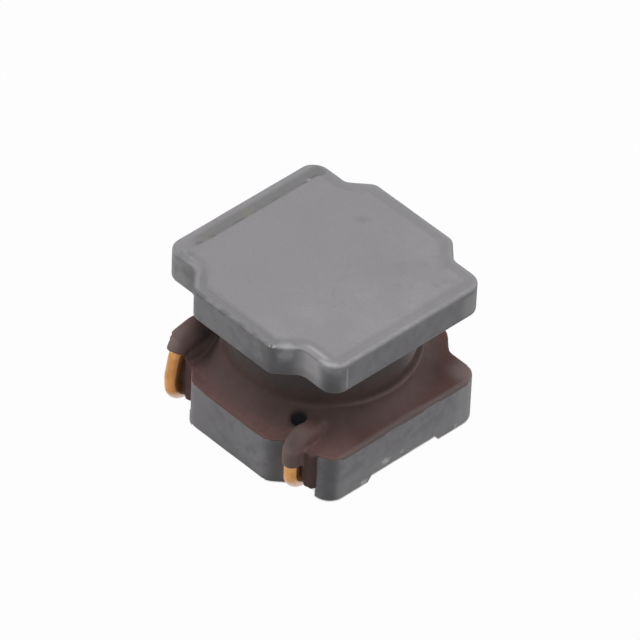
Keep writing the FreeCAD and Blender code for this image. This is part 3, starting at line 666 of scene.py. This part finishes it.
# Painted light: the skirt grows paler and redder out towards its edge and over the front
colour = paint(colour,
               (away.rise(2.5, 3.15) * 0.9, (0.142, 0.073, 0.064)),
               (along.rise(-1.3, -2.3) * away.rise(2.5, 2.9) * 0.75, (0.215, 0.118, 0.108)),
               (height.rise(2.1, 2.6) * 0.7, (0.100, 0.090, 0.091)),
               (grain(place, 7.0, 3).rise(0.4, 0.75) * 0.3, (0.066, 0.038, 0.032)),
               (foot * 0.80, (0.152, 0.098, 0.090)),
               (rim_film * 0.6, (0.210, 0.172, 0.168)))
# Painted highlight on the crest of the ridge, painted shade in the crease over it, and a painted sheen on
# the wall
facing = across.rise(0.9, 1.6)
crest_highlight = away.near(WALL + 0.10, 0.08) * height.near(1.97, 0.10) * facing
crease_shade = away.rise(WALL + 0.035, WALL) * height.near(2.10, 0.10) * facing
sheen = away.rise(2.47, 2.42) * height.rise(2.1, 2.3) * along.rise(0.2, 1.2) * facing
colour = paint(colour,
               (crest_highlight * 0.9, (0.215, 0.155, 0.148)),
               (crease_shade * 0.30, (0.040, 0.030, 0.030)),
               (sheen * 0.95, (0.270, 0.225, 0.225)))
# The thin resin on the leads carries a painted sheen, and the pocket beside each holds painted shade
for x, pocket_shade_share in ((LEFT_X, 0.1), (RIGHT_X, 0.7)):
    tube = across.near(x, 0.45) * along.rise(-1.9, -2.7)
    pocket_shade = across.rise(x + 0.26, x + 0.34) * along.rise(-2.40, -2.48) * height.rise(1.40, 1.30)
    colour = paint(colour,
                   (tube * 0.9, (0.245, 0.185, 0.170)),
                   (pocket_shade * pocket_shade_share, (0.050, 0.034, 0.029)))
# Painted light near the corners and on the mound, and painted shade beside the sleeves and in the pit
colour = paint(colour,
               (spot(place, 2.55, -1.80, 1.40, 0.70, 0.1) * 0.7, (0.232, 0.146, 0.136)),
               (spot(place, -1.62, -1.92, 2.35, 0.50, 0.2) * 0.8, (0.200, 0.165, 0.160)),
               (spot(place, -1.90, -2.05, 1.75, 0.80, 0.3) * 0.65, (0.150, 0.105, 0.100)),
               (spot(place, -1.99, -2.12, 2.00, 0.34, 0.3) * 0.65, (0.085, 0.068, 0.070)),
               (spot(place, 1.90, -2.78, 1.68, 0.44, 0.2) * 0.80, (0.130, 0.092, 0.086)),
               (spot(place, 2.70, 2.30, 1.40, 0.60, 0.2) * 0.8, (0.270, 0.215, 0.205)),
               (spot(place, *(PIT - Vector((0, 0, 0.10))), 0.36, 0.35), (0.003, 0.002, 0.004)))
link(tree, colour, shader.inputs["Base Color"])
link(tree, 0.62 + 0.2 * grain(place, 3.0), shader.inputs["Roughness"])
shader.inputs["Specular IOR Level"].default_value = 0.3
relief = grain(place, 9.0, 3) * 0.6 + grain(place, 30.0, 2) * 0.2
link(tree, relief.node("Bump", None, {"Strength": 0.3, "Distance": 0.03 * MM, "Height": relief}),
     shader.inputs["Normal"])
resin.data.materials.clear()
resin.data.materials.append(resin_finish)
finish_mesh(resin, "resin", "magnetic_resin", sharp=80)

# Each end of the underside is metallised with a fired silver film, tinned over, that also lines
# the wire groove.
electrode, place, tree, shader = finish_material("tinned_silver_film")
tarnish = grain(place, 2.2, 4).rise(0.35, 0.7)
link(tree, blend(tarnish, (0.66, 0.65, 0.63), (0.80, 0.79, 0.77)), shader.inputs["Base Color"])
shader.inputs["Metallic"].default_value = 1.0
link(tree, 0.34 + 0.18 * grain(place, 6.0, 3), shader.inputs["Roughness"])
relief = grain(place, 16.0, 3)
link(tree, relief.node("Bump", None, {"Strength": 0.3, "Distance": 0.03 * MM, "Height": relief}),
     shader.inputs["Normal"])
for side in ("left", "right"):
    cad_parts[f"electrode_{side}"].data.materials.clear()
    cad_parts[f"electrode_{side}"].data.materials.append(electrode)

# The solder is tin, melted into each groove round the end of the wire. It joins the wire to the
# film and is levelled with it.
solder, place, tree, shader = finish_material("bright_solder")
link(tree, blend(grain(place, 3.0, 4).rise(0.3, 0.7), (0.72, 0.71, 0.70), (0.86, 0.85, 0.83)),
     shader.inputs["Base Color"])
shader.inputs["Metallic"].default_value = 1.0
link(tree, 0.22 + 0.16 * grain(place, 7.0, 3), shader.inputs["Roughness"])
relief = grain(place, 8.0, 3)
link(tree, relief.node("Bump", None, {"Strength": 0.4, "Distance": 0.04 * MM, "Height": relief}),
     shader.inputs["Normal"])
for side in ("left", "right"):
    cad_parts[f"solder_{side}"].data.materials.clear()
    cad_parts[f"solder_{side}"].data.materials.append(solder)

# The part stands on a white sheet, under a soft overhead lamp and even white surroundings, and
# is seen from above its front corner through a long lens.
CAMERA_TURN, CAMERA_HEIGHT, CAMERA_ROLL = 45.39, 42.23, 2.446
CAMERA_DISTANCE, FOCAL_PIXELS, PICTURE, SENSOR = 223.34, 9202.0, 640, 36
ORIGIN_IN_PICTURE = (318.1, 398.1)
turn, tall = math.radians(CAMERA_TURN), math.radians(CAMERA_HEIGHT)
camera = bpy.data.objects.new("camera", bpy.data.cameras.new("camera"))
bpy.context.collection.objects.link(camera)
camera.data.sensor_width = SENSOR
camera.data.lens = FOCAL_PIXELS * SENSOR / PICTURE
camera.data.clip_start, camera.data.clip_end = 0.01, 10
back = Vector((math.sin(turn) * math.cos(tall), -math.cos(turn) * math.cos(tall), math.sin(tall)))
camera.location = back * CAMERA_DISTANCE * MM
aim = back.to_track_quat("Z", "Y") @ Euler((0, 0, math.radians(CAMERA_ROLL))).to_quaternion()
nudge = Euler((math.atan((ORIGIN_IN_PICTURE[1] - PICTURE / 2) / FOCAL_PIXELS),
               -math.atan((PICTURE / 2 - ORIGIN_IN_PICTURE[0]) / FOCAL_PIXELS), 0))
camera.rotation_mode = "QUATERNION"
camera.rotation_quaternion = aim @ nudge.to_quaternion()
bpy.context.scene.camera = camera

SHEET_HALF, SHEET_DROP = 600 * MM, 0.02 * MM
sheet_mesh = bpy.data.meshes.new("white_sheet")
sheet_mesh.from_pydata([(x * SHEET_HALF, y * SHEET_HALF, -SHEET_DROP)
                        for x, y in ((-1, -1), (1, -1), (1, 1), (-1, 1))], [], [(0, 1, 2, 3)])
white_sheet = bpy.data.objects.new("white_sheet", sheet_mesh)
bpy.context.collection.objects.link(white_sheet)
paper, place, tree, shader = finish_material("white_paper")
shader.inputs["Base Color"].default_value = (0.36, 0.36, 0.37, 1)
shader.inputs["Roughness"].default_value = 0.9
ray = place.node("LightPath", output="Is Camera Ray") + place.node("LightPath", output="Is Glossy Ray")
glow = place.node("Emission", None, {"Color": (1.0, 0.99, 1.0, 1), "Strength": 1.0})
seen = place.node("MixShader", None, {0: ray * 0.985, 2: glow})
tree.links.new(shader.outputs[0], seen.socket.node.inputs[1])
tree.links.new(seen.socket, tree.nodes["Material Output"].inputs["Surface"])
white_sheet.data.materials.append(paper)

SURROUNDING_LIGHT = 0.24
world = bpy.data.worlds.new("white_surroundings")
bpy.context.scene.world = world
world.use_nodes = True
around = Field(world.node_tree)
eye = around.node("LightPath", output="Is Camera Ray")
gloss = around.node("LightPath", output="Is Glossy Ray")
bright = (eye + gloss).math("MINIMUM", eye + gloss, 1.0)
backdrop = world.node_tree.nodes["Background"]
backdrop.inputs["Color"].default_value = (1, 1, 1, 1)
link(world.node_tree, SURROUNDING_LIGHT + (1 - SURROUNDING_LIGHT) * bright, backdrop.inputs["Strength"])

# Each lamp has its place and width in metres, and its power in watts
for name, where, size, power in (("overhead_lamp", (0.004, 0.0, 0.06), 0.04, 0.0208),
                                 ("left_lamp", (-0.052, -0.034, 0.024), 0.03, 0.009),
                                 ("right_lamp", (0.034, 0.052, 0.024), 0.03, 0.008)):
    lamp = bpy.data.objects.new(name, bpy.data.lights.new(name, "AREA"))
    bpy.context.collection.objects.link(lamp)
    lamp.data.size, lamp.data.energy = size, power
    lamp.location = where
    lamp.rotation_mode = "QUATERNION"
    lamp.rotation_quaternion = lamp.location.to_track_quat("Z", "Y")

bpy.context.scene.view_settings.view_transform = "Standard"
